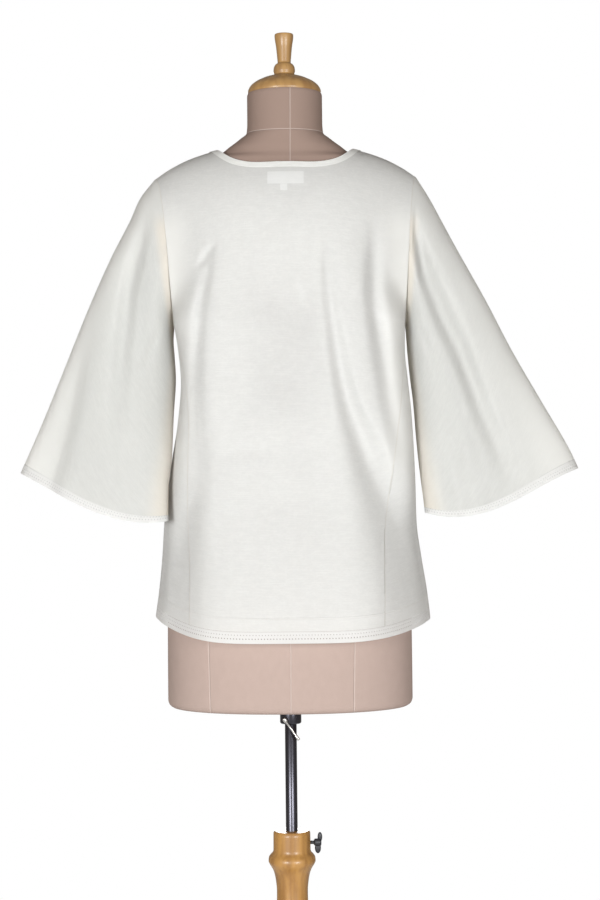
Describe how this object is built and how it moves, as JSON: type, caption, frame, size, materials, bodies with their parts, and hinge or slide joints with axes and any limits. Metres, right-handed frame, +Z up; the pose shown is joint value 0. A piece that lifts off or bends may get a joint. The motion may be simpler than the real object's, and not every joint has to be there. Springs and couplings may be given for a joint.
{
  "type": "kurta tunic on a limbless dress form",
  "caption": "Ivory kurta tunic with wide three-quarter sleeves and lace edging, worn by a limbless cloth-covered dress form on a turned wooden stand.",
  "frame": {"origin": "centre of the base's underside, on the floor", "axes": "+Z up along the pole; the tunic's front faces +Y and its back -Y; +X is to the right seen from behind"},
  "size_m": [0.7929, 0.348, 1.5975],
  "materials": {
    "ivory_cloth": "matt slubby plain weave",
    "ivory_lace": "openwork cotton edging",
    "label_cloth": "smooth woven tape",
    "form_cover": "matt dusty pink cloth over a firm body",
    "turned_wood": "satin varnish",
    "pole_steel": "dark polished steel",
    "screw_black": "black, satin"
  },
  "bodies": {
    "stand": {"stand_base": "turned_wood", "stand_column": "turned_wood"},
    "form": {"dress_form": "form_cover", "neck_cap": "turned_wood", "form_socket": "pole_steel", "socket_pin": "pole_steel", "stand_pole": "pole_steel", "back_panel": "ivory_cloth", "front_panel": "ivory_cloth", "side_gore_left": "ivory_cloth", "side_gore_right": "ivory_cloth", "sleeve_left": "ivory_cloth", "sleeve_right": "ivory_cloth", "neck_binding": "ivory_cloth", "hem_lace": "ivory_lace", "cuff_lace_left": "ivory_lace", "cuff_lace_right": "ivory_lace", "neck_label": "label_cloth", "size_tab": "label_cloth"},
    "clamp_screw": {"clamp_screw": "screw_black"}
  },
  "joints": [
    {"name": "height_slide", "type": "slide", "parent": "stand", "child": "form", "axis": [0, 0, 1], "range_m": [-0.1, 0.18]},
    {"name": "clamp_turn", "type": "hinge", "parent": "stand", "child": "clamp_screw", "pos_m": [0.0395, 0, 0.4425], "axis": [1, 0, 0], "continuous": true}
  ]
}
